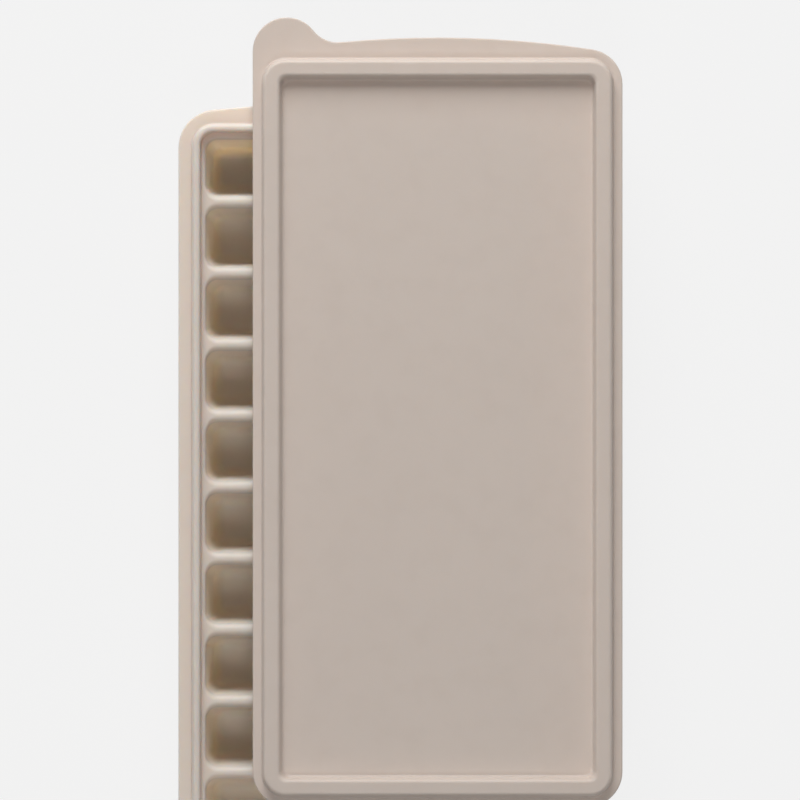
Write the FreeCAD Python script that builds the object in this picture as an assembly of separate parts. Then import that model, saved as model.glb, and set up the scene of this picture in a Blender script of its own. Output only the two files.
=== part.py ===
import FreeCAD, Part

import math
import os

from FreeCAD import Vector

# Baby food freezer tray: one soft silicone moulding with two columns of deep
# drafted cups, and a soft silicone lid that lies on it, pushed to one side.
# Millimetres. +X is across the tray, +Y along it and +Z up. The origin is on
# the table, under the middle of the box that holds the tray and the lid.

# Cup grid
columns = 2
rows = 10
cup_width = 46.45
cup_length = 18.5
end_cup_trim = 0.83
divider = 3.5
cup_depth = 25.0
cup_draft = math.radians(4.5)
cup_corner = 1.65
corner_flats = 5
cup_wall = 1.2
cup_floor = 1.4
foot_rise = 2.0
foot_inset = 1.4
mouth_rise = 1.1
mouth_spread = 1.1

# Tray deck, its bead and its flange
deck_thickness = 2.0
deck_edge_bevel = 0.5
side_ledge = 1.15
end_ledge = 1.38
bead_width = 3.1
bead_height = 4.2
bead_corner = 4.3
bead_draft = math.radians(3.0)
bead_crown = 1.3
flange_side = 4.55
flange_end = 6.8
flange_bow = 4.2
flange_corner = 10.3

# Lid: panel, hollow bead that presses over the tray's bead, flange and pull tab
lid_sheet = 1.4
lid_edge_bevel = 0.4
lid_clearance = 0.3
lid_wall = 1.2
lid_roof = 1.2
lid_draft = math.radians(7.5)
lid_shoulder = 1.2
lid_end_overhang = 1.3
lid_bow = 5.2
lid_corner = 10.2
tab_radius = 10.8
tab_set_back = 4.6
tab_fillet = 9.5

# Where the lid lies, measured from its closed place over the tray
lid_shift_x = 22.9
lid_shift_y = 18.3

# Worked out from the sizes above
pitch_x = cup_width + divider
pitch_y = cup_length + divider
grid_half_x = (columns * pitch_x - divider) / 2
grid_half_y = (rows * pitch_y - divider) / 2 - end_cup_trim
deck_top = cup_floor + cup_depth
mouth_corner = cup_corner + cup_depth * math.tan(cup_draft)
bead_half_x = grid_half_x + side_ledge + bead_width / 2
bead_half_y = grid_half_y + end_ledge + bead_width / 2
tray_half_x = bead_half_x + bead_width / 2 + flange_side
tray_half_y = bead_half_y + bead_width / 2 + flange_end
channel_depth = bead_height + lid_clearance
channel_half_width = bead_width / 2 + lid_clearance
lid_bead_half_width = channel_half_width + lid_wall
lid_height = channel_depth + lid_roof
lid_half_y = tray_half_y + lid_end_overhang
lid_under = deck_top + bead_height
tab_x = tab_radius - tray_half_x
tab_y = lid_half_y - tab_set_back

# The middle of the box round tray and lid, from the tray's own middle
middle_x = lid_shift_x / 2
middle_y = (lid_shift_y + tab_y + tab_radius - tray_half_y) / 2


def arc(x, y, radius, start, end, z):
    """Arc about (x, y) at height z, anticlockwise from angle start to angle end."""
    circle = Part.Circle(Vector(x, y, z), Vector(0, 0, 1), radius)
    return Part.ArcOfCircle(circle, start, end).toShape()


def line(x1, y1, x2, y2, z):
    """Straight edge at height z."""
    return Part.makeLine(Vector(x1, y1, z), Vector(x2, y2, z))


class BowedEnd:
    """The long arc that ends a flange, and the corner arcs tangent to it and to the sides."""

    def __init__(self, half_x, half_y, bow, corner):
        self.radius = (half_x ** 2 + bow ** 2) / (2 * bow)
        self.centre_y = half_y - self.radius
        self.corner_x = half_x - corner
        reach = self.radius - corner
        self.corner_y = self.centre_y + math.sqrt(reach ** 2 - self.corner_x ** 2)
        self.angle = math.atan2(self.corner_y - self.centre_y, self.corner_x)


def bowed_outline(half_x, half_y, bow, corner, z):
    """Closed outline with straight sides and ends that bow outwards."""
    end = BowedEnd(half_x, half_y, bow, corner)
    half_turn = math.pi
    return Part.Wire([
        line(half_x, -end.corner_y, half_x, end.corner_y, z),
        arc(end.corner_x, end.corner_y, corner, 0, end.angle, z),
        arc(0, end.centre_y, end.radius, end.angle, half_turn - end.angle, z),
        arc(-end.corner_x, end.corner_y, corner, half_turn - end.angle, half_turn, z),
        line(-half_x, end.corner_y, -half_x, -end.corner_y, z),
        arc(-end.corner_x, -end.corner_y, corner, half_turn, half_turn + end.angle, z),
        arc(0, -end.centre_y, end.radius, half_turn + end.angle, 2 * half_turn - end.angle, z),
        arc(end.corner_x, -end.corner_y, corner, -end.angle, 0, z),
    ])


def tabbed_outline(half_x, half_y, bow, corner, z):
    """The bowed outline with a round pull tab in place of its left corner at +Y.

    The tab is tangent to the left side, and a concave arc leads from it into the bow.
    """
    end = BowedEnd(half_x, half_y, bow, corner)
    half_turn = math.pi
    to_tab = Vector(tab_x, tab_y - end.centre_y, 0)
    near = end.radius + tab_fillet
    far = tab_radius + tab_fillet
    span = to_tab.Length
    along = (span ** 2 + near ** 2 - far ** 2) / (2 * span)
    aside = math.sqrt(near ** 2 - along ** 2)
    unit = to_tab / span
    fillet_x = unit.x * along + unit.y * aside
    fillet_y = end.centre_y + unit.y * along - unit.x * aside
    meets_bow = math.atan2(fillet_y - end.centre_y, fillet_x)
    leaves_tab = math.atan2(fillet_y - tab_y, fillet_x - tab_x)
    return Part.Wire([
        line(half_x, -end.corner_y, half_x, end.corner_y, z),
        arc(end.corner_x, end.corner_y, corner, 0, end.angle, z),
        arc(0, end.centre_y, end.radius, end.angle, meets_bow, z),
        arc(fillet_x, fillet_y, tab_fillet, leaves_tab + half_turn, meets_bow + half_turn, z),
        arc(tab_x, tab_y, tab_radius, leaves_tab, half_turn, z),
        line(-half_x, tab_y, -half_x, -end.corner_y, z),
        arc(-end.corner_x, -end.corner_y, corner, half_turn, half_turn + end.angle, z),
        arc(0, -end.centre_y, end.radius, half_turn + end.angle, 2 * half_turn - end.angle, z),
        arc(end.corner_x, -end.corner_y, corner, -end.angle, 0, z),
    ])


def edges_at(solid, z):
    """The edges of a solid that lie flat at height z."""
    flat = 1e-6
    return [edge for edge in solid.Edges if all(abs(v.Z - z) < flat for v in edge.Vertexes)]


def sheet(outline, thickness, edge_bevel):
    """Flat sheet standing on its outline, with its rim bevelled above and below."""
    bottom = outline.BoundBox.ZMin
    solid = Part.Face(outline).extrude(Vector(0, 0, thickness))
    rims = edges_at(solid, bottom) + edges_at(solid, bottom + thickness)
    return solid.makeChamfer(edge_bevel, rims)


def drafted_section(half_width, z_low, z_high, draft):
    """Section of a channel in the XZ plane, narrower at the top by its draft.

    X is measured outwards from the bead's centre line.
    """
    top_half = half_width - (z_high - z_low) * math.tan(draft)
    corners = [(-half_width, z_low), (half_width, z_low), (top_half, z_high), (-top_half, z_high)]
    corners.append(corners[0])
    return Part.Face(Part.makePolygon([Vector(x, 0, z) for x, z in corners]))


def bead_section(half_width, z_low, z_high, draft, shoulder):
    """The drafted section with its two top corners rounded."""
    top_half = half_width - (z_high - z_low) * math.tan(draft)
    turn = (math.pi / 2 - draft) / 2
    tangent = shoulder * math.tan(turn)
    flat_half = top_half - tangent
    side_x = top_half + tangent * math.sin(draft)
    side_z = z_high - tangent * math.cos(draft)
    bulge_x = flat_half + shoulder * math.sin(turn)
    bulge_z = z_high - shoulder + shoulder * math.cos(turn)
    foot_left = Vector(-half_width, 0, z_low)
    foot_right = Vector(half_width, 0, z_low)
    side_right = Vector(side_x, 0, side_z)
    flat_right = Vector(flat_half, 0, z_high)
    flat_left = Vector(-flat_half, 0, z_high)
    side_left = Vector(-side_x, 0, side_z)
    return Part.Face(Part.Wire([
        Part.makeLine(foot_left, foot_right),
        Part.makeLine(foot_right, side_right),
        Part.Arc(side_right, Vector(bulge_x, 0, bulge_z), flat_right).toShape(),
        Part.makeLine(flat_right, flat_left),
        Part.Arc(flat_left, Vector(-bulge_x, 0, bulge_z), side_left).toShape(),
        Part.makeLine(side_left, foot_left),
    ]))


def carry_round(section, half_x, half_y):
    """A section carried round a rectangle: four straight runs, and four corners turned about its corners.

    The section stands in the XZ plane, and its X is measured outwards from the rectangle's edge.
    """
    quarter = 90
    up = Vector(0, 0, 1)
    pieces = []
    for side in range(4):
        along, across = (half_y, half_x) if side % 2 == 0 else (half_x, half_y)
        run = section.translated(Vector(across, -along, 0)).extrude(Vector(0, 2 * along, 0))
        corner = section.translated(Vector(across, along, 0))
        corner = corner.revolve(Vector(across, along, 0), up, quarter)
        for piece in (run, corner):
            piece.rotate(Vector(0, 0, 0), up, side * quarter)
            pieces.append(piece)
    return pieces


def bead_ring(section):
    """A section carried round the bead's centre line as one ring."""
    outwards = section.translated(Vector(bead_corner, 0, 0))
    pieces = carry_round(outwards, bead_half_x - bead_corner, bead_half_y - bead_corner)
    return pieces[0].fuse(pieces[1:]).removeSplitter()


def cup_radius(z):
    """Radius of a cup's inner corner at height z: its walls and corners share one draft."""
    return cup_corner + (z - cup_floor) * math.tan(cup_draft)


def cup_outline(length, radius, z):
    """Points of a cup's plan at height z: straight sides, and corners of one radius in a few flats."""
    half_x = cup_width / 2 - mouth_corner
    half_y = length / 2 - mouth_corner
    points = []
    for quarter, (x, y) in enumerate([(1, 1), (-1, 1), (-1, -1), (1, -1)]):
        for step in range(corner_flats + 1):
            angle = (quarter + step / corner_flats) * math.pi / 2
            points.append(Vector(x * half_x + radius * math.cos(angle), y * half_y + radius * math.sin(angle), z))
    return points


def flat_face(points):
    """Flat face with its corners at the points."""
    return Part.Face(Part.makePolygon(points + points[:1]))


def cup_block(length, side):
    """Solid with a cup's plan, from its side: pairs of corner radius and height, from the foot up."""
    outlines = [cup_outline(length, radius, z) for radius, z in side]
    faces = [flat_face(outlines[0]), flat_face(outlines[-1])]
    for low, high in zip(outlines, outlines[1:]):
        for i in range(len(low)):
            faces.append(flat_face([low[i - 1], low[i], high[i], high[i - 1]]))
    return Part.makeSolid(Part.makeShell(faces))


def cup_shell(length):
    """Outside of a cup, from its bevelled foot up into the deck."""
    foot = cup_radius(foot_rise) + cup_wall
    top = deck_top - deck_thickness / 2
    return cup_block(length, [(foot - foot_inset, 0), (foot, foot_rise), (cup_radius(top) + cup_wall, top)])


def cup_hollow(length):
    """Inside of a cup: bevelled foot, drafted walls, and a mouth that rolls over onto the deck."""
    wall_low = cup_floor + foot_rise
    wall_high = deck_top - mouth_rise
    foot = cup_radius(wall_low)
    mouth = cup_radius(wall_high)
    return cup_block(length, [
        (foot - foot_inset, cup_floor),
        (foot, wall_low),
        (mouth, wall_high),
        (mouth + mouth_spread, deck_top),
    ])


def over_grid(make_cup):
    """A solid at each cup's place in the grid. The cups at the tray's ends are a little shorter outside."""
    cups = []
    full = make_cup(cup_length)
    short = make_cup(cup_length - end_cup_trim)
    for column in range(columns):
        x = (column - (columns - 1) / 2) * pitch_x
        for row in range(1, rows - 1):
            cups.append(full.translated(Vector(x, (row - (rows - 1) / 2) * pitch_y, 0)))
        end_y = (rows - 1) / 2 * pitch_y - end_cup_trim / 2
        cups.append(short.translated(Vector(x, end_y, 0)))
        cups.append(short.translated(Vector(x, -end_y, 0)))
    return cups


def build_tray():
    """Tray as one moulding: deck with flange and bead, cups hanging below, hollows cut through."""
    deck_bottom = deck_top - deck_thickness
    outline = bowed_outline(tray_half_x, tray_half_y, flange_bow, flange_corner, deck_bottom)
    deck = sheet(outline, deck_thickness, deck_edge_bevel)
    bead = bead_ring(bead_section(bead_width / 2, deck_top, deck_top + bead_height, bead_draft, bead_crown))
    tray = deck.fuse([bead] + over_grid(cup_shell))
    return tray.cut(over_grid(cup_hollow)).removeSplitter()


def build_lid():
    """Lid as one moulding: sheet with pull tab, raised bead, and the channel below the bead."""
    outline = tabbed_outline(tray_half_x, lid_half_y, lid_bow, lid_corner, 0)
    base = sheet(outline, lid_sheet, lid_edge_bevel)
    ring = bead_ring(bead_section(lid_bead_half_width, lid_sheet, lid_height, lid_draft, lid_shoulder))
    channel = bead_ring(drafted_section(channel_half_width, 0, channel_depth, bead_draft))
    return base.fuse(ring).cut(channel).removeSplitter()


def write(name, shape, place):
    """Write one piece, moved to its place, as a STEP file."""
    piece = shape.translated(place - Vector(middle_x, middle_y, 0))
    solid = piece.Solids[0]
    print(name, "solids", len(piece.Solids), "valid", piece.isValid(), "cm3", round(solid.Volume / 1000, 2))
    piece.exportStep("parts/" + name + ".step")


os.makedirs("parts", exist_ok=True)
write("tray", build_tray(), Vector(0, 0, 0))
write("lid", build_lid(), Vector(lid_shift_x, lid_shift_y, lid_under))
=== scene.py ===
"""Looks of the baby food freezer tray: a soft silicone tray of deep cups, and the lid that lies on it.

Sizes are in millimetres in the classes below and become metres when a mesh is made. Materials, lamps
and the camera are in metres. The frame is the CAD's: +X across the tray, +Y along it, +Z up, with the
origin on the table under the middle of the tray and lid.
"""

from __future__ import annotations

import logging
import math
from dataclasses import dataclass, field
from enum import Enum
from typing import Any, Callable, ClassVar, Sequence

import bmesh
import bpy
from mathutils import Matrix, Vector

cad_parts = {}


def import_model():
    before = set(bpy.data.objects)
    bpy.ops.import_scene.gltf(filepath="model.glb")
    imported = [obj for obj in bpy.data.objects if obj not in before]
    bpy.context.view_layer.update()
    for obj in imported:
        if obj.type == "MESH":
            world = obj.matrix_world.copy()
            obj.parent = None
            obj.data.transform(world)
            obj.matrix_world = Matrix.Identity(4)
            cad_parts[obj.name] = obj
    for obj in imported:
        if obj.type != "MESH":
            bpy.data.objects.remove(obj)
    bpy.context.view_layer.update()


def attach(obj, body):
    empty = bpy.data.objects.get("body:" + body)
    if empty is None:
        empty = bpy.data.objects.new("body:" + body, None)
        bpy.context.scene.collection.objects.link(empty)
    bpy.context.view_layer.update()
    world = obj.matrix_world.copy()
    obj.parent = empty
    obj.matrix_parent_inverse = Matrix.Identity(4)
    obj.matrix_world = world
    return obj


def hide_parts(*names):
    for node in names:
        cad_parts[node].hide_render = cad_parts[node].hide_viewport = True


METRES = 0.001
log = logging.getLogger("freezer_tray")

# Facets of an arc: the longest, in millimetres, and the fewest. Points closer than SAME_SPOT are one.
LONGEST_FACET = 8.0
FEWEST_FACETS = 3
SAME_SPOT = 1e-4

# No corner gets tighter than this radius, and every rim's upper edge has the next one.
LEAST_RADIUS = 0.25
RIM_TOP_ROUND = 0.4

# Signs of the four corners, anticlockwise from +X and +Y.
QUARTERS = ((1, 1), (-1, 1), (-1, -1), (1, -1))

Section = list[tuple[float, float]]
Colour = tuple[float, float, float]
Ring = list[bmesh.types.BMVert]


def slope(degrees: float) -> float:
    """How far a wall of this draft leans for each millimetre of height."""
    return math.tan(math.radians(degrees))


class Slot(Enum):
    """The record's material slots."""

    TRAY = "tray_silicone"
    LID = "lid_silicone"


class Body(Enum):
    """The CAD bodies, whose names are also the nodes' names."""

    TRAY = "tray"
    LID = "lid"


@dataclass(frozen=True)
class Mottle:
    """Size and character of one noise.

    Attributes:
        scale: Waves per metre.
        detail: Octaves.
        roughness: Strength of the finer octaves.
    """

    scale: float
    detail: float
    roughness: float = 0.5


class Wire:
    """A shader socket that takes part in Python arithmetic."""

    def __init__(self, graph: Graph, socket: bpy.types.NodeSocket) -> None:
        """Keep the graph and the socket.

        Args:
            graph: The graph that owns the socket.
            socket: An output socket.
        """
        self.graph = graph
        self.socket = socket

    def maths(self, operation: str, first: Any, second: Any) -> Wire:
        """Add one Math node.

        Args:
            operation: The Math node's operation.
            first: A number or a wire.
            second: A number or a wire.

        Returns:
            The node's result.
        """
        return self.graph.node("ShaderNodeMath", {"operation": operation}, {0: first, 1: second})

    def __add__(self, other: Any) -> Wire:
        """Sum."""
        return self.maths("ADD", self, other)

    def __radd__(self, other: Any) -> Wire:
        """Sum, the other way round."""
        return self.maths("ADD", other, self)

    def __sub__(self, other: Any) -> Wire:
        """Difference."""
        return self.maths("SUBTRACT", self, other)

    def __rsub__(self, other: Any) -> Wire:
        """Difference, the other way round."""
        return self.maths("SUBTRACT", other, self)

    def __mul__(self, other: Any) -> Wire:
        """Product."""
        return self.maths("MULTIPLY", self, other)

    def __rmul__(self, other: Any) -> Wire:
        """Product, the other way round."""
        return self.maths("MULTIPLY", other, self)

    def __gt__(self, other: Any) -> Wire:
        """One where this value is greater, nought elsewhere."""
        return self.maths("GREATER_THAN", self, other)


class Graph:
    """A node tree being wired."""

    def __init__(self, tree: bpy.types.NodeTree) -> None:
        """Empty the tree.

        Args:
            tree: The tree of a material or a world.
        """
        self.tree = tree
        tree.nodes.clear()

    def node(
        self,
        kind: str,
        settings: dict[str, Any] | None = None,
        inputs: dict[str | int, Any] | None = None,
        output: str | int = 0,
    ) -> Wire:
        """Add any node.

        Args:
            kind: The node's type.
            settings: Its properties, set before its sockets.
            inputs: Values or wires for its input sockets, by name or number.
            output: Which of its outputs to return, by name or number.

        Returns:
            The chosen output, or the first input's wire for a node that has no output.
        """
        made = self.tree.nodes.new(kind)
        for name, value in (settings or {}).items():
            setattr(made, name, value)
        for name, value in (inputs or {}).items():
            socket = made.inputs[name]
            if isinstance(value, Wire):
                self.tree.links.new(value.socket, socket)
            else:
                socket.default_value = value
        return Wire(self, made.outputs[output] if made.outputs else made.inputs[0])

    def noise(self, where: Wire, mottle: Mottle) -> Wire:
        """Noise about one half.

        Args:
            where: Coordinates.
            mottle: Its size and character.

        Returns:
            A factor between nought and one.
        """
        inputs = {
            "Vector": where,
            "Scale": mottle.scale,
            "Detail": mottle.detail,
            "Roughness": mottle.roughness,
        }
        return self.node("ShaderNodeTexNoise", {}, inputs)

    def blend(self, factor: Wire, first: Colour | Wire, second: Colour | Wire) -> Wire:
        """Mix two colours.

        Args:
            factor: Share of the second colour.
            first: A linear colour or a wire.
            second: A linear colour or a wire.

        Returns:
            The mixed colour.
        """
        settings = {"data_type": "RGBA", "clamp_factor": True}
        colours = [colour if isinstance(colour, Wire) else (*colour, 1) for colour in (first, second)]
        return self.node("ShaderNodeMix", settings, {0: factor, 6: colours[0], 7: colours[1]}, 2)


@dataclass(frozen=True)
class SiliconeFinish:
    """Matte moulded silicone: cloudy colour, a fine grain and a little light passing through.

    Attributes:
        name: The material's name.
        colour: Main colour, linear.
        cloud: Colour of the paler clouds, linear.
        deep: Colour of the deeper clouds, linear.
        roughness: Mean roughness.
        glow: Share of light that spreads under the surface.
        depth: How far it spreads, in metres.
        hollow: Paler, warmer colour painted below the deck, inside and outside the cups, linear, if
            given.
            It is painted light that brightens the cups where they lie in shade.
        painted_light_top: Height below which the painted light begins, in metres.
        painted_light_fade: Share of the painted-light colour gained for each metre below that height.
        cloud_share: Strength of the paler clouds.
        patch_start: Level of the patches at which the deeper colour begins.
        patch_share: Strength of the deeper colour.
        cloud_gloss: How much the clouds vary the roughness.
        grain_gloss: How much the grain varies the roughness.
        grain_height: Height of the grain, as a share of the relief.
        pore_height: Height of the pores, as a share of the relief.
        swell_height: Height of the long swell, as a share of the relief.
        relief: Height of the relief, in metres.
        relief_share: Strength of the relief.
        ior: Index of refraction.
        spread: How far red, green and blue light spread, as shares of the depth.
        bloom: Strength of the soft bloom at glancing angles.
        bloom_roughness: Roughness of the bloom.
    """

    clouds: ClassVar[Mottle] = Mottle(32, 4, 0.55)
    patches: ClassVar[Mottle] = Mottle(130, 3)
    grain: ClassVar[Mottle] = Mottle(2600, 2, 0.6)
    pores: ClassVar[Mottle] = Mottle(900, 2)
    swell: ClassVar[Mottle] = Mottle(14, 1)

    name: str
    colour: Colour
    cloud: Colour
    deep: Colour
    roughness: float = 0.5
    glow: float = 0.3
    depth: float = 0.005
    # A paler colour painted below the deck: painted light for the shaded cups.
    hollow: Colour | None = None
    painted_light_top: float = 0.0
    painted_light_fade: float = 400
    cloud_share: float = 0.8
    patch_start: float = 0.45
    patch_share: float = 1.2
    cloud_gloss: float = 0.12
    grain_gloss: float = 0.1
    grain_height: float = 0.35
    pore_height: float = 0.3
    swell_height: float = 14
    relief: float = 0.00005
    relief_share: float = 0.6
    ior: float = 1.42
    spread: tuple[float, float, float] = (1.0, 0.66, 0.44)
    bloom: float = 0.12
    bloom_roughness: float = 0.5

    def shade(self, graph: Graph, where: Wire, clouds: Wire) -> Wire:
        """Colour of the silicone.

        Args:
            graph: The material's graph.
            where: Object coordinates.
            clouds: The clouds' noise.

        Returns:
            The colour.
        """
        patches = (graph.noise(where, self.patches) - self.patch_start) * self.patch_share
        colour = graph.blend(clouds * self.cloud_share, self.colour, self.cloud)
        colour = graph.blend(patches, colour, self.deep)
        # Below the deck the colour turns paler and warmer. This is painted light that brightens the
        # cups, which the lid and the cup walls shade.
        if self.hollow:
            height = graph.node("ShaderNodeSeparateXYZ", {}, {"Vector": where}, "Z")
            colour = graph.blend((self.painted_light_top - height) * self.painted_light_fade, colour, self.hollow)
        return colour

    def surface(self, graph: Graph, where: Wire, grain: Wire) -> Wire:
        """Normal of the moulded surface.

        Args:
            graph: The material's graph.
            where: Object coordinates.
            grain: The grain's noise.

        Returns:
            The normal.
        """
        fine = grain * self.grain_height + graph.noise(where, self.pores) * self.pore_height
        height = fine + graph.noise(where, self.swell) * self.swell_height
        inputs = {"Strength": self.relief_share, "Distance": self.relief, "Height": height}
        return graph.node("ShaderNodeBump", {}, inputs, "Normal")

    def material(self) -> bpy.types.Material:
        """Build the material.

        Returns:
            The finished material.
        """
        made = bpy.data.materials.new(self.name)
        made.use_nodes = True
        graph = Graph(made.node_tree)
        where = graph.node("ShaderNodeTexCoord", {}, {}, "Object")
        clouds, grain = graph.noise(where, self.clouds), graph.noise(where, self.grain)
        uneven = (clouds - 0.5) * self.cloud_gloss + (grain - 0.5) * self.grain_gloss
        shader = graph.node("ShaderNodeBsdfPrincipled", {}, {
            "Base Color": self.shade(graph, where, clouds),
            "Roughness": uneven + self.roughness,
            "Normal": self.surface(graph, where, grain),
            "IOR": self.ior,
            "Subsurface Weight": self.glow,
            "Subsurface Radius": self.spread,
            "Subsurface Scale": self.depth,
            "Sheen Weight": self.bloom,
            "Sheen Roughness": self.bloom_roughness,
        })
        graph.node("ShaderNodeOutputMaterial", {}, {"Surface": shader})
        return made


TRAY_FINISH = SiliconeFinish(
    "tray_sand",
    colour=(0.68, 0.615, 0.565),
    cloud=(0.71, 0.645, 0.595),
    deep=(0.65, 0.585, 0.53),
    glow=0.7,
    depth=0.006,
    # Paler colour painted in and under the cups: painted light that brightens them where they lie in
    # shade.
    hollow=(0.95, 0.79, 0.66),
    painted_light_top=0.0246,
)
LID_FINISH = SiliconeFinish(
    "lid_sand",
    colour=(0.625, 0.54, 0.485),
    cloud=(0.655, 0.57, 0.515),
    deep=(0.595, 0.51, 0.455),
    glow=0.12,
)


@dataclass(frozen=True)
class Bend:
    """A corner of a section, in the plane that stands square to an outline.

    Attributes:
        out: Distance outwards from the outline.
        up: Height.
        radius: Radius that rounds the corner, or nought for a plain point.
    """

    out: float
    up: float
    radius: float = 0.0


def rounded_section(bends: Sequence[Bend], steps: int = 7, hold: float = 0.06) -> Section:
    """Round the corners of a section.

    Args:
        bends: The section's corners, first to last.
        steps: Facets in each rounded corner.
        hold: Distance from each round to a point that keeps the flat beside it flat.

    Returns:
        Points as (out, up).
    """
    points = [(bends[0].out, bends[0].up)]
    for before, bend, after in zip(bends, bends[1:], bends[2:]):
        here = Vector((bend.out, bend.up))
        back = (Vector((before.out, before.up)) - here).normalized()
        ahead = (Vector((after.out, after.up)) - here).normalized()
        half = back.angle(ahead) / 2
        reach = bend.radius / math.tan(half)
        centre = here + (back + ahead).normalized() * (bend.radius / math.sin(half))
        start = here + back * reach - centre
        end = here + ahead * reach - centre
        sweep = math.pi - 2 * half
        points.append(tuple(here + back * (reach + hold)))
        for step in range(steps + 1):
            share = step / steps
            first, second = math.sin((1 - share) * sweep), math.sin(share * sweep)
            points.append(tuple(centre + (start * first + end * second) / math.sin(sweep)))
        points.append(tuple(here + ahead * (reach + hold)))
    points.append((bends[-1].out, bends[-1].up))
    return points


def rim_section(bottom: float, top: float, bottom_round: float, reach: float) -> Section:
    """Section of a rim, from below round its edge to the top.

    Args:
        bottom: Height of the underside.
        top: Height of the upper side.
        bottom_round: Radius of the lower edge.
        reach: How far inwards the section goes on either side.

    Returns:
        Points as (out, up).
    """
    return rounded_section([
        Bend(-reach, bottom),
        Bend(0, bottom, bottom_round),
        Bend(0, top, RIM_TOP_ROUND),
        Bend(-reach, top),
    ])


@dataclass
class Outline:
    """A closed outline seen from above, anticlockwise, as points that each know which way is out."""

    spots: list[tuple[Vector, Vector]] = field(default_factory=list)

    def arc(self, centre: Vector, radius: float, start: float, end: float, facet: float = 0.13) -> None:
        """Add an arc. One that turns clockwise bends inwards.

        Args:
            centre: The arc's centre.
            radius: Its radius.
            start: Angle where it starts.
            end: Angle where it ends.
            facet: Largest turn of one facet, in radians.
        """
        out = 1 if end > start else -1
        turn = abs(end - start)
        steps = max(FEWEST_FACETS, math.ceil(turn / facet), math.ceil(turn * radius / LONGEST_FACET))
        for step in range(steps + 1):
            angle = start + (end - start) * step / steps
            ray = Vector((math.cos(angle), math.sin(angle)))
            spot = centre + ray * radius
            if self.spots and (spot - self.spots[-1][0]).length < SAME_SPOT:
                continue
            self.spots.append((spot, ray * out))

    def loops(self, section: Section) -> list[list[Vector]]:
        """Loops that carry a section round the outline.

        Args:
            section: Points as (out, up).

        Returns:
            One loop for each point of the section.
        """
        return [[Vector((*(spot + ray * out), up)) for spot, ray in self.spots] for out, up in section]


@dataclass(frozen=True)
class FlangeShape:
    """Plan of a flange: straight sides, ends that bow outwards, round corners.

    Attributes:
        half_x: Half its width.
        half_y: Half its length, to the top of the bow.
        bow: How far the ends bow out.
        corner: Corner radius.
    """

    half_x: float
    half_y: float
    bow: float
    corner: float

    def bow_radius(self) -> float:
        """Radius of the bow."""
        return (self.half_x ** 2 + self.bow ** 2) / (2 * self.bow)

    def corner_spot(self) -> Vector:
        """Centre of the corner arc at +X and +Y."""
        x = self.half_x - self.corner
        reach = self.bow_radius() - self.corner
        return Vector((x, self.half_y - self.bow_radius() + math.sqrt(reach ** 2 - x ** 2)))

    def corner_angle(self) -> float:
        """Angle at which the corner arc meets the bow."""
        spot = self.corner_spot()
        return math.atan2(spot.y - self.half_y + self.bow_radius(), spot.x)

    def outline(self, tab: PullTab | None = None) -> Outline:
        """The flange's outline.

        Args:
            tab: A pull tab in place of the corner at -X and +Y, if there is one.

        Returns:
            The outline.
        """
        made = Outline()
        turn = math.pi
        spot, angle, radius = self.corner_spot(), self.corner_angle(), self.bow_radius()
        centre = Vector((0, self.half_y - radius))
        made.arc(spot, self.corner, 0, angle)
        if tab:
            tab.add(made, centre, radius, angle)
        else:
            made.arc(centre, radius, angle, turn - angle)
            made.arc(Vector((-spot.x, spot.y)), self.corner, turn - angle, turn)
        made.arc(Vector((-spot.x, -spot.y)), self.corner, turn, turn + angle)
        made.arc(-centre, radius, turn + angle, 2 * turn - angle)
        made.arc(Vector((spot.x, -spot.y)), self.corner, 2 * turn - angle, 2 * turn)
        return made


@dataclass(frozen=True)
class PullTab:
    """Round pull tab that runs into the flange's bow through a hollow curve.

    Attributes:
        x: Its centre across the lid.
        y: Its centre along the lid.
        radius: Its radius.
        hollow: Radius of the hollow curve.
    """

    x: float
    y: float
    radius: float
    hollow: float

    def add(self, outline: Outline, centre: Vector, bow: float, start: float) -> None:
        """Add the bow, the hollow curve and the tab to an outline.

        Args:
            outline: The outline so far, up to the bow.
            centre: Centre of the bow.
            bow: Its radius.
            start: Angle where the bow starts.
        """
        tab = Vector((self.x, self.y))
        span = tab - centre
        near, far = bow + self.hollow, self.radius + self.hollow
        along = (span.length_squared + near ** 2 - far ** 2) / (2 * span.length)
        aside = math.sqrt(near ** 2 - along ** 2)
        unit = span.normalized()
        hollow = centre + unit * along + Vector((unit.y, -unit.x)) * aside
        on_bow = math.atan2(hollow.y - centre.y, hollow.x - centre.x)
        on_tab = math.atan2(hollow.y - tab.y, hollow.x - tab.x)
        outline.arc(centre, bow, start, on_bow)
        outline.arc(hollow, self.hollow, on_bow + math.pi, on_tab + math.pi)
        outline.arc(tab, self.radius, on_tab, math.pi)


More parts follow.
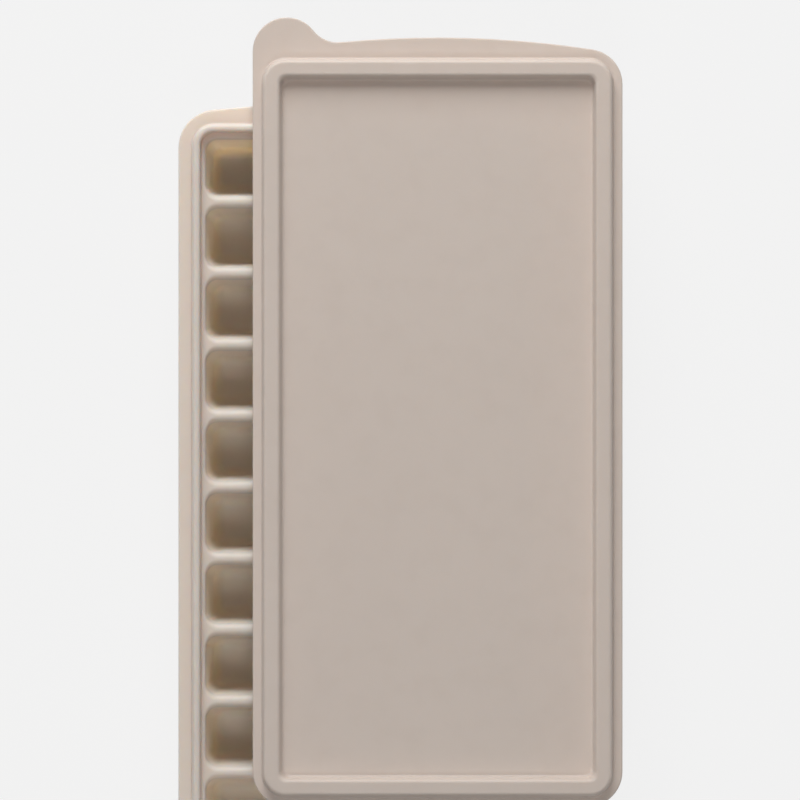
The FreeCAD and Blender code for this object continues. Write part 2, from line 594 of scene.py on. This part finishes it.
@dataclass(frozen=True)
class RoundedPlan:
    """Rounded rectangle that a section follows.

    Down a drafted wall it shrinks with its corners unchanged.

    Attributes:
        x: Its middle across the tray.
        y: Its middle along the tray.
        half_x: Half its width.
        half_y: Half its length.
        corner: Corner radius.
        lean: How far the wall leans in from its top to its foot.
        facets: Facets in each corner.
        tightest: Least corner radius.
    """

    x: float
    y: float
    half_x: float
    half_y: float
    corner: float
    lean: float
    facets: int = 9
    tightest: float = LEAST_RADIUS

    def rays(self) -> list[tuple[float, float, Vector]]:
        """Corner signs and outward direction of each point round the plan."""
        made = []
        for quarter, (side_x, side_y) in enumerate(QUARTERS):
            for facet in range(self.facets + 1):
                angle = (quarter + facet / self.facets) * math.pi / 2
                made.append((side_x, side_y, Vector((math.cos(angle), math.sin(angle)))))
        return made

    def loops(self, section: Callable[[Vector], Section]) -> list[list[Vector]]:
        """Loops down the wall.

        Args:
            section: Gives the section that faces a direction.

        Returns:
            One loop for each point of the section.
        """
        columns = []
        for side_x, side_y, ray in self.rays():
            column = []
            for out, up in section(ray):
                beyond = max(out, 0) + min(out + self.lean, 0)
                radius = max(self.corner + beyond, self.tightest)
                x = side_x * (self.half_x + out - radius) + ray.x * radius
                y = side_y * (self.half_y + out - radius) + ray.y * radius
                column.append(Vector((self.x + x, self.y + y, up)))
            columns.append(column)
        return [list(loop) for loop in zip(*columns)]


@dataclass(frozen=True)
class BeadLine:
    """Centre line of a bead that runs round the cups.

    Attributes:
        half_x: Half its width.
        half_y: Half its length.
        corner: Corner radius.
        tightest: Least corner radius of the bead's own edges.
        facets: Facets in each corner.
    """

    half_x: float
    half_y: float
    corner: float
    tightest: float = LEAST_RADIUS
    facets: int = 15

    def loops(self, section: Section) -> list[list[Vector]]:
        """Loops that carry a section round the line.

        Args:
            section: Points as (out, up).

        Returns:
            One loop for each point of the section.
        """
        size = (self.half_x, self.half_y, self.corner)
        plan = RoundedPlan(0, 0, *size, lean=0, facets=self.facets, tightest=self.tightest)
        return plan.loops(lambda ray: section)


class Skin:
    """A closed skin grown loop by loop in one bmesh, then filled between its loops."""

    def __init__(self, middle: Vector) -> None:
        """Start with nothing.

        Args:
            middle: Place of the piece's own middle in the frame.
        """
        self.mesh = bmesh.new()
        self.middle = middle

    def start(self, loop: Sequence[Vector]) -> Ring:
        """Lay a first loop.

        Args:
            loop: Its points.

        Returns:
            Its vertices in order.
        """
        verts = [self.mesh.verts.new(point + self.middle) for point in loop]
        for before, vert in zip(verts[-1:] + verts[:-1], verts):
            self.mesh.edges.new((before, vert))
        return verts

    def edges(self, ring: Ring) -> list[bmesh.types.BMEdge]:
        """The edges round a ring of vertices."""
        pairs = zip(ring[-1:] + ring[:-1], ring)
        return [self.mesh.edges.get(pair) for pair in pairs]

    def grow(self, ring: Ring, loop: Sequence[Vector]) -> Ring:
        """Extrude a ring to the next loop.

        Args:
            ring: Vertices of the last loop.
            loop: Points of the next one.

        Returns:
            Vertices of the next loop in order.
        """
        made = bmesh.ops.extrude_edge_only(self.mesh, edges=self.edges(ring))
        fresh = {item for item in made["geom"] if isinstance(item, bmesh.types.BMVert)}
        following = []
        for vert, point in zip(ring, loop):
            beside = (edge.other_vert(vert) for edge in vert.link_edges)
            new = next(other for other in beside if other in fresh)
            new.co = point + self.middle
            following.append(new)
        return following

    def sweep(self, loops: Sequence[Sequence[Vector]]) -> tuple[Ring, Ring]:
        """Grow through several loops.

        Args:
            loops: The loops in order.

        Returns:
            The first ring and the last.
        """
        first = ring = self.start(loops[0])
        for loop in loops[1:]:
            ring = self.grow(ring, loop)
        return first, ring

    def fill(self, *rings: Ring) -> None:
        """Fill the flat between rings that lie at one height.

        Args:
            rings: The outer ring and any inner ones.
        """
        edges = [edge for ring in rings for edge in self.edges(ring)]
        bmesh.ops.triangle_fill(self.mesh, use_beauty=True, edges=edges, normal=(0, 0, 1))

    def finish(self, name: str) -> bpy.types.Object:
        """Turn the skin into a smooth object.

        Args:
            name: The object's name.

        Returns:
            The object, linked to the scene.
        """
        bmesh.ops.scale(self.mesh, vec=(METRES, METRES, METRES), verts=self.mesh.verts[:])
        bmesh.ops.recalc_face_normals(self.mesh, faces=self.mesh.faces[:])
        for face in self.mesh.faces:
            face.smooth = True
        loose = [edge for edge in self.mesh.edges if not edge.is_manifold]
        mesh = bpy.data.meshes.new(name)
        self.mesh.to_mesh(mesh)
        self.mesh.free()
        made = bpy.data.objects.new(name, mesh)
        bpy.context.scene.collection.objects.link(made)
        log.info("%s: %d faces, %d open edges", name, len(mesh.polygons), len(loose))
        return made


class Moulding:
    """A moulded piece that stands in for one CAD body."""

    body: ClassVar[Body]
    slot: ClassVar[Slot]
    coat: ClassVar[SiliconeFinish]

    def build(self) -> bpy.types.Object:
        """Build the piece as one skin."""
        raise NotImplementedError

    def dress(self) -> None:
        """Build the piece, give it its finish and put it in its body's place on the frame."""
        piece = self.build()
        piece.data.materials.append(self.coat.material())
        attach(piece, self.body.value)
        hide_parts(self.body.value)
        log.info("%s rides on %s in %s", piece.name, self.body.value, self.slot.value)


@dataclass
class Tray(Moulding):
    """The freezer tray: deck with a rolled rim, a bead, and two columns of drafted cups.

    Attributes:
        middle: Place of the tray's middle in the frame.
        columns: Cups across.
        rows: Cups along.
        cup_width: Width of a cup's mouth.
        cup_length: Length of a cup's mouth.
        end_trim: How much shorter the cups at the tray's ends are, on their outer side.
        divider: Width of the land between neighbouring cups.
        deck_top: Height of the deck.
        deck_thickness: Thickness of the deck.
        cup_floor: Thickness of a cup's floor.
        cup_wall: Thickness of a cup's wall.
        draft: Tangent of the wall's draft.
        cup_corner: Corner radius of a cup.
        floor_round: Radius where a cup's wall meets its floor inside.
        foot_round: Radius where a cup's wall meets its foot outside.
        root_round: Radius where a cup's wall meets the deck's underside.
        divider_crown: Radius of a mouth's edge beside another cup.
        ledge_crown: Radius of a mouth's edge beside the bead.
        bead_half: Half the bead's width at its foot.
        bead_height: Height of the bead.
        bead_crown: Radius of the bead's top edges.
        outer_lean: Tangent of the draft of the bead's outer wall.
        inner_lean: Tangent of the draft of the bead's inner wall.
        outer_cove: Radius of the hollow curve at the bead's outer foot.
        inner_cove: Radius of the hollow curve at the bead's inner foot.
        rim_round: Radius of the rim's lower edge.
        rim_reach: Width of the rim's section.
        margin: Width of the flat kept beside a round, before a fill begins.
        flange: Plan of the rim.
        bead: Centre line of the bead.
    """

    body: ClassVar[Body] = Body.TRAY
    slot: ClassVar[Slot] = Slot.TRAY
    coat: ClassVar[SiliconeFinish] = TRAY_FINISH

    middle: Vector = field(default_factory=lambda: Vector((-11.45, -12.9, 0)))
    columns: int = 2
    rows: int = 10
    cup_width: float = 46.75
    cup_length: float = 18.5
    end_trim: float = 0.83
    divider: float = 3.5
    deck_top: float = 26.4
    deck_thickness: float = 2.0
    cup_floor: float = 1.4
    cup_wall: float = 1.2
    draft: float = slope(4.5)
    cup_corner: float = 3.6
    floor_round: float = 3.6
    foot_round: float = 3.9
    root_round: float = 0.42
    divider_crown: float = 1.78
    ledge_crown: float = 0.6
    bead_half: float = 1.45
    bead_height: float = 4.2
    bead_crown: float = 1.1
    outer_lean: float = slope(5)
    inner_lean: float = slope(3)
    outer_cove: float = 0.5
    inner_cove: float = 0.4
    rim_round: float = 0.6
    rim_reach: float = 1.2
    margin: float = 0.1
    flange: FlangeShape = FlangeShape(56.8, 118.7, 3.6, 11.7)
    bead: BeadLine = BeadLine(51.2, 110.6, 5.4)

    def cup_places(self) -> list[tuple[int, int, float, float]]:
        """Column, row and middle of each cup."""
        pitch_x, pitch_y = self.cup_width + self.divider, self.cup_length + self.divider
        places = []
        for column in range(self.columns):
            for row in range(self.rows):
                shift = (self.trim(row == 0) - self.trim(row == self.rows - 1)) / 2
                x = (column - (self.columns - 1) / 2) * pitch_x
                y = (row - (self.rows - 1) / 2) * pitch_y + shift
                places.append((column, row, x, y))
        return places

    def trim(self, at_end: bool) -> float:
        """How much shorter a cup is for being at an end of the tray."""
        return self.end_trim if at_end else 0.0

    def crown(self, column: int, row: int, ray: Vector) -> float:
        """Radius of a cup's mouth edge.

        Args:
            column: The cup's column.
            row: The cup's row.
            ray: The direction that the edge faces, out of the cup.

        Returns:
            The radius, blended round the corners.
        """
        end_x = column == (0 if ray.x < 0 else self.columns - 1)
        end_y = row == (0 if ray.y < 0 else self.rows - 1)
        across = self.ledge_crown if end_x else self.divider_crown
        along = self.ledge_crown if end_y else self.divider_crown
        return across * ray.x ** 2 + along * ray.y ** 2

    def hollow_section(self, crown: float) -> Section:
        """Section of a cup's inside, from its mouth to its floor.

        Args:
            crown: Radius of the mouth's edge.

        Returns:
            Points as (out, up).
        """
        lean = self.hollow_lean()
        crown_width = crown * (math.sqrt(1 + self.draft ** 2) - self.draft)
        return rounded_section([
            Bend(crown_width + 0.7 * self.margin, self.deck_top),
            Bend(0, self.deck_top, crown),
            Bend(-lean, self.cup_floor, self.floor_round),
            Bend(-lean - self.floor_round - 2 * self.margin, self.cup_floor),
        ])

    def hollow_lean(self) -> float:
        """How far a cup's inside leans in from its mouth to its floor."""
        return (self.deck_top - self.cup_floor) * self.draft

    def shell_section(self) -> Section:
        """Section of a cup's outside, from the deck's underside to the foot."""
        root = self.deck_top - self.deck_thickness
        lean = root * self.draft
        return rounded_section([
            Bend(self.root_round + 0.8 * self.margin, root),
            Bend(0, root, self.root_round),
            Bend(-lean, 0, self.foot_round),
            Bend(-lean - self.foot_round - self.margin, 0),
        ])

    def half_length(self, row: int) -> float:
        """Half the length of the cups in a row."""
        return (self.cup_length - self.trim(row in (0, self.rows - 1))) / 2

    def hollow(self, skin: Skin, column: int, row: int, x: float, y: float) -> Ring:
        """Grow a cup's inside and close its floor.

        Args:
            skin: The tray's skin.
            column: The cup's column.
            row: The cup's row.
            x: Its middle across the tray.
            y: Its middle along the tray.

        Returns:
            The ring at its mouth.
        """
        size = (self.cup_width / 2, self.half_length(row), self.cup_corner)
        plan = RoundedPlan(x, y, *size, self.hollow_lean())
        loops = plan.loops(lambda ray: self.hollow_section(self.crown(column, row, ray)))
        mouth, floor = skin.sweep(loops)
        skin.fill(floor)
        return mouth

    def shell(self, skin: Skin, row: int, x: float, y: float) -> Ring:
        """Grow a cup's outside and close its foot.

        Args:
            skin: The tray's skin.
            row: The cup's row.
            x: The cup's middle across the tray.
            y: Its middle along the tray.

        Returns:
            The ring at its root.
        """
        grow = self.cup_wall - self.deck_thickness * self.draft
        lean = (self.deck_top - self.deck_thickness) * self.draft
        size = (self.cup_width / 2 + grow, self.half_length(row) + grow, self.cup_corner + self.cup_wall)
        section = self.shell_section()
        root, foot = skin.sweep(RoundedPlan(x, y, *size, lean).loops(lambda ray: section))
        skin.fill(foot)
        return root

    def bead_section(self) -> Section:
        """Section over the bead, from the flange to the ledge beside the cups."""
        top, crest_top = self.deck_top, self.deck_top + self.bead_height
        outer = self.bead_half - self.bead_height * self.outer_lean
        inner = self.bead_half - self.bead_height * self.inner_lean
        return rounded_section([
            Bend(self.bead_half + self.outer_cove + self.margin, top),
            Bend(self.bead_half, top, self.outer_cove),
            Bend(outer, crest_top, self.bead_crown),
            Bend(-inner, crest_top, self.bead_crown),
            Bend(-self.bead_half, top, self.inner_cove),
            Bend(-self.bead_half - self.inner_cove - 0.8 * self.margin, top),
        ], hold=0.04)

    def build(self) -> bpy.types.Object:
        """Build the tray as one skin.

        Returns:
            The tray.
        """
        skin = Skin(self.middle)
        bottom = self.deck_top - self.deck_thickness
        rim = rim_section(bottom, self.deck_top, self.rim_round, self.rim_reach)
        under, over = skin.sweep(self.flange.outline().loops(rim))
        outside, inside = skin.sweep(self.bead.loops(self.bead_section()))
        mouths, roots = [], []
        for column, row, x, y in self.cup_places():
            mouths.append(self.hollow(skin, column, row, x, y))
            roots.append(self.shell(skin, row, x, y))
        skin.fill(over, outside)
        skin.fill(inside, *mouths)
        skin.fill(under, *roots)
        return skin.finish("tray_moulding")


@dataclass
class Lid(Moulding):
    """The lid: a thin sheet with a pull tab, and a hollow bead that presses over the tray's bead.

    Attributes:
        middle: Place of the lid's middle in the frame.
        sheet: Thickness of the sheet.
        outer_half: Distance from the line to the bead's outer foot.
        inner_half: Distance from the line to the bead's inner foot.
        height: Height of the bead's top.
        outer_draft: Tangent of the outer wall's draft.
        inner_draft: Tangent of the inner wall's draft.
        shoulder: Radius of the bead's top edges.
        foot: Radius of the hollow curves at the bead's feet.
        channel_half: Half the channel's width at its mouth.
        channel_depth: Depth of the channel.
        channel_lean: Tangent of the draft of the channel's walls.
        channel_lip: Radius of the channel's mouth edges.
        channel_round: Radius of the channel's roof edges.
        channel_facets: Facets in each rounded corner of the channel.
        rim_round: Radius of the sheet's lower edge.
        rim_reach: Width of the rim's section.
        margin: Width of the flat kept beside the bead's outer foot, before the fill begins.
        flange: Plan of the sheet.
        tab: The pull tab.
        bead: Centre line of the bead.
    """

    body: ClassVar[Body] = Body.LID
    slot: ClassVar[Slot] = Slot.LID
    coat: ClassVar[SiliconeFinish] = LID_FINISH

    middle: Vector = field(default_factory=lambda: Vector((11.6, 5.4, 30.6)))
    sheet: float = 1.4
    outer_half: float = 2.85
    inner_half: float = 3.25
    height: float = 5.7
    outer_draft: float = slope(5)
    inner_draft: float = slope(11)
    shoulder: float = 1.15
    foot: float = 0.8
    channel_half: float = 1.75
    channel_depth: float = 4.5
    channel_lean: float = slope(3)
    channel_lip: float = 0.3
    channel_round: float = 0.45
    channel_facets: int = 5
    rim_round: float = 0.55
    rim_reach: float = 1
    margin: float = 0.1
    flange: FlangeShape = FlangeShape(56.85, 120.0, 5.2, 10.8)
    tab: PullTab = PullTab(-46.4, 115.75, 10.45, 9.5)
    bead: BeadLine = BeadLine(51.0, 110.4, 4.3, 2.5)

    def bead_section(self) -> Section:
        """Section over the bead, from the flange to the panel."""
        rise = self.height - self.sheet
        outer = self.outer_half - rise * self.outer_draft
        inner = self.inner_half - rise * self.inner_draft
        return rounded_section([
            Bend(self.outer_half + self.foot + self.margin, self.sheet),
            Bend(self.outer_half, self.sheet, self.foot),
            Bend(outer, self.height, self.shoulder),
            Bend(-inner, self.height, self.shoulder),
            Bend(-self.inner_half, self.sheet, self.foot),
            Bend(-self.inner_half - self.foot, self.sheet),
        ])

    def channel_section(self) -> Section:
        """Section of the channel under the bead."""
        mouth, roof = self.channel_half, self.channel_half - self.channel_depth * self.channel_lean
        reach = mouth + self.channel_lip + 2 * self.margin
        return rounded_section([
            Bend(reach, 0),
            Bend(mouth, 0, self.channel_lip),
            Bend(roof, self.channel_depth, self.channel_round),
            Bend(-roof, self.channel_depth, self.channel_round),
            Bend(-mouth, 0, self.channel_lip),
            Bend(-reach, 0),
        ], self.channel_facets)

    def build(self) -> bpy.types.Object:
        """Build the lid as one skin.

        Returns:
            The lid.
        """
        skin = Skin(self.middle)
        rim = rim_section(0, self.sheet, self.rim_round, self.rim_reach)
        under, over = skin.sweep(self.flange.outline(self.tab).loops(rim))
        outside, inside = skin.sweep(self.bead.loops(self.bead_section()))
        mouth_out, mouth_in = skin.sweep(self.bead.loops(self.channel_section()))
        skin.fill(over, outside)
        skin.fill(inside)
        skin.fill(under, mouth_out)
        skin.fill(mouth_in)
        return skin.finish("lid_moulding")


@dataclass(frozen=True)
class SoftLamp:
    """A large square lamp that faces the object.

    Attributes:
        name: The lamp's name.
        power: Its power, in watts.
        size: Its side, in metres.
        turn: Its angle from +Y towards -X, in degrees.
        height: Its elevation, in degrees.
        distance: Its distance, in metres.
        colour: Its colour, linear.
    """

    name: str
    power: float
    size: float
    turn: float
    height: float
    distance: float = 1.6
    colour: Colour = (1, 0.99, 0.975)

    def build(self) -> None:
        """Hang the lamp."""
        turn, height = math.radians(self.turn), math.radians(self.height)
        level = math.cos(height)
        ray = Vector((-math.sin(turn) * level, math.cos(turn) * level, math.sin(height)))
        lamp = bpy.data.lights.new(self.name, "AREA")
        lamp.shape = "SQUARE"
        lamp.size = self.size
        lamp.energy = self.power
        lamp.color = self.colour
        made = bpy.data.objects.new(self.name, lamp)
        bpy.context.scene.collection.objects.link(made)
        made.location = ray * self.distance
        made.rotation_euler = ray.to_track_quat("Z", "Y").to_euler()


@dataclass(frozen=True)
class Studio:
    """Plain pale floor, soft light and the camera that looks straight down.

    Attributes:
        backdrop: Brightness of the background.
        shadow: Share of the floor that takes light and shade.
        fill: Strength of the even light.
        air: Colour of the even light, linear.
        floor_half: Half the floor's side, in metres.
        floor_drop: How far the floor lies below the cups' feet, in metres.
        lamps: The soft lamps.
        camera_place: The camera's place, in metres.
        lens: Its focal length, in millimetres.
        film: Width of its film, in millimetres.
        nearest: Distance at which its view begins, in metres.
    """

    backdrop: float = 0.9
    shadow: float = 0.07
    fill: float = 0.16
    air: Colour = (1, 0.995, 0.985)
    floor_half: float = 3
    floor_drop: float = 0.0002
    lamps: tuple[SoftLamp, ...] = (
        SoftLamp("key", 17.7, 0.85, 8.0, 33.0, 1.4),
        SoftLamp("filler", 4.8, 0.5, 178.0, 62.0),
    )
    camera_place: tuple[float, float, float] = (0.00005, 0.01395, 2.0)
    lens: float = 288.1
    film: float = 36
    nearest: float = 0.05

    def grey(self) -> tuple[float, float, float, float]:
        """Colour of the background."""
        return (self.backdrop, self.backdrop, self.backdrop, 1)

    def seen(self, graph: Graph) -> Wire:
        """One for rays that show the background, nought for those that light the object.

        Args:
            graph: The graph that uses it.

        Returns:
            The mask.
        """
        outputs = ("Is Camera Ray", "Is Glossy Ray", "Is Transmission Ray")
        camera, glossy, through = [graph.node("ShaderNodeLightPath", {}, {}, name) for name in outputs]
        return camera + glossy + through > 0.5

    def world(self) -> None:
        """Even light all round, seen as the pale background."""
        made = bpy.data.worlds.new("studio_air")
        bpy.context.scene.world = made
        made.use_nodes = True
        graph = Graph(made.node_tree)
        even = {"Color": (*self.air, 1), "Strength": self.fill}
        light = graph.node("ShaderNodeBackground", {}, even)
        plain = graph.node("ShaderNodeBackground", {}, {"Color": self.grey(), "Strength": 1.0})
        mixed = graph.node("ShaderNodeMixShader", {}, {0: self.seen(graph), 1: light, 2: plain})
        graph.node("ShaderNodeOutputWorld", {}, {"Surface": mixed})

    def floor(self) -> None:
        """Pale floor that keeps the object's shadow."""
        mesh = bmesh.new()
        place = Matrix.Translation((0, 0, -self.floor_drop))
        bmesh.ops.create_grid(mesh, x_segments=1, y_segments=1, size=self.floor_half, matrix=place)
        data = bpy.data.meshes.new("floor")
        mesh.to_mesh(data)
        mesh.free()
        made = bpy.data.objects.new("floor", data)
        bpy.context.scene.collection.objects.link(made)
        paint = bpy.data.materials.new("floor_paint")
        paint.use_nodes = True
        graph = Graph(paint.node_tree)
        lit = graph.node("ShaderNodeBsdfDiffuse", {}, {"Color": self.grey()})
        even = graph.node("ShaderNodeEmission", {}, {"Color": self.grey(), "Strength": 1.0})
        mask = self.seen(graph) * (1 - self.shadow)
        mixed = graph.node("ShaderNodeMixShader", {}, {0: mask, 1: lit, 2: even})
        graph.node("ShaderNodeOutputMaterial", {}, {"Surface": mixed})
        data.materials.append(paint)

    def camera(self) -> None:
        """Camera straight above, with the tray's length up the picture."""
        data = bpy.data.cameras.new("camera")
        data.lens = self.lens
        data.sensor_width = self.film
        data.clip_start = self.nearest
        made = bpy.data.objects.new("camera", data)
        bpy.context.scene.collection.objects.link(made)
        made.location = self.camera_place
        bpy.context.scene.camera = made

    def build(self) -> None:
        """Make floor, light and camera."""
        self.world()
        self.floor()
        for lamp in self.lamps:
            lamp.build()
        self.camera()
        bpy.context.scene.view_settings.view_transform = "Standard"


def main() -> None:
    """Build the tray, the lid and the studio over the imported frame."""
    logging.basicConfig(level=logging.INFO, format="%(name)s %(message)s")
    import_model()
    Tray().dress()
    Lid().dress()
    Studio().build()


if __name__ == "__main__":
    main()
